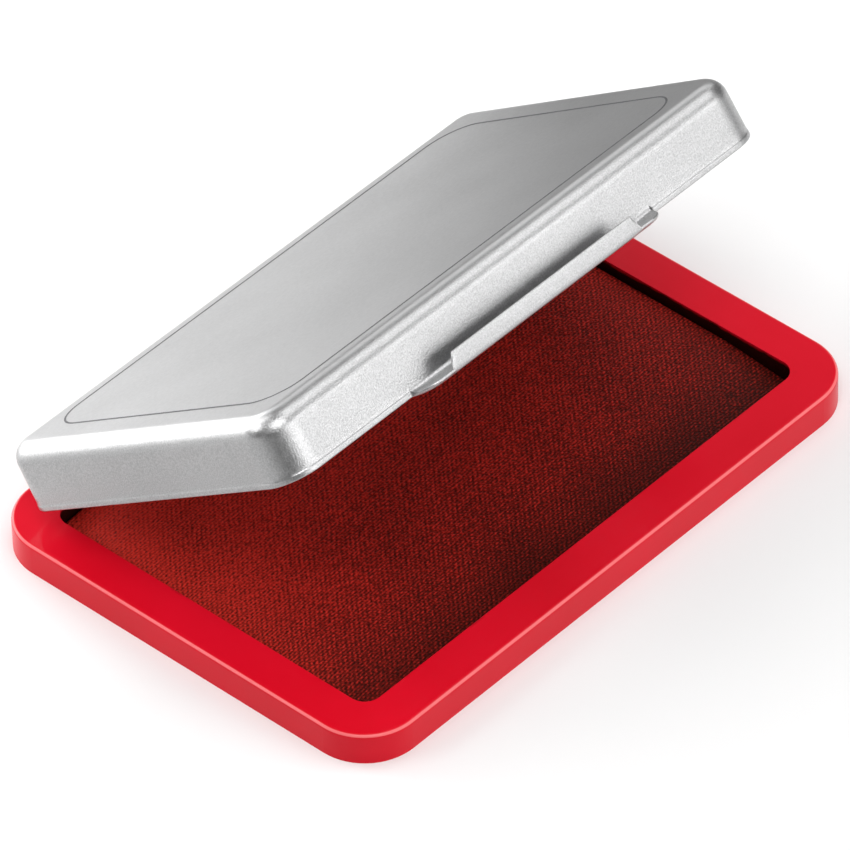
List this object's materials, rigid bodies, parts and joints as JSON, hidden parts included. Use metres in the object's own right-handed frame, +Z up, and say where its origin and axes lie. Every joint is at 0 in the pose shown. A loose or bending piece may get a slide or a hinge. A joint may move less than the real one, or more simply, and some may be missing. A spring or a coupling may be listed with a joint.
{
  "type": "stamp pad",
  "caption": "Flat stamp pad: a shallow plastic tray with an inked cloth pad and a hinged pressed-metal lid with a lifting lip, lid partly open.",
  "frame": {"origin": "middle of the tray's flat underside, on the table", "axes": "+X along the long side, +Y from the lifting lip at the front to the hinge at the rear, +Z up; the lid is drawn partly open"},
  "size_m": [0.126, 0.0878, 0.0603],
  "materials": {
    "tray_plastic": "moulded, satin gloss",
    "board": "pressed board, matt",
    "felt": "ink-soaked felt",
    "pad_cloth": "knitted cover cloth, inked",
    "lid_sheet": "satin pressed sheet, fine grain",
    "print_ink": "thin printed line",
    "pin_steel": "drawn wire"
  },
  "bodies": {
    "base": {"tray": "tray_plastic", "pad_board": "board", "felt_core": "felt", "pad_cloth": "pad_cloth", "hinge_pins": "pin_steel"},
    "cover": {"lid": "lid_sheet", "border_line": "print_ink"}
  },
  "joints": [
    {"name": "lid_hinge", "type": "hinge", "parent": "base", "child": "cover", "pos_m": [0, 0.0413, 0.00865], "axis": [-1, 0, 0], "range_deg": [-34.8, 105]}
  ]
}
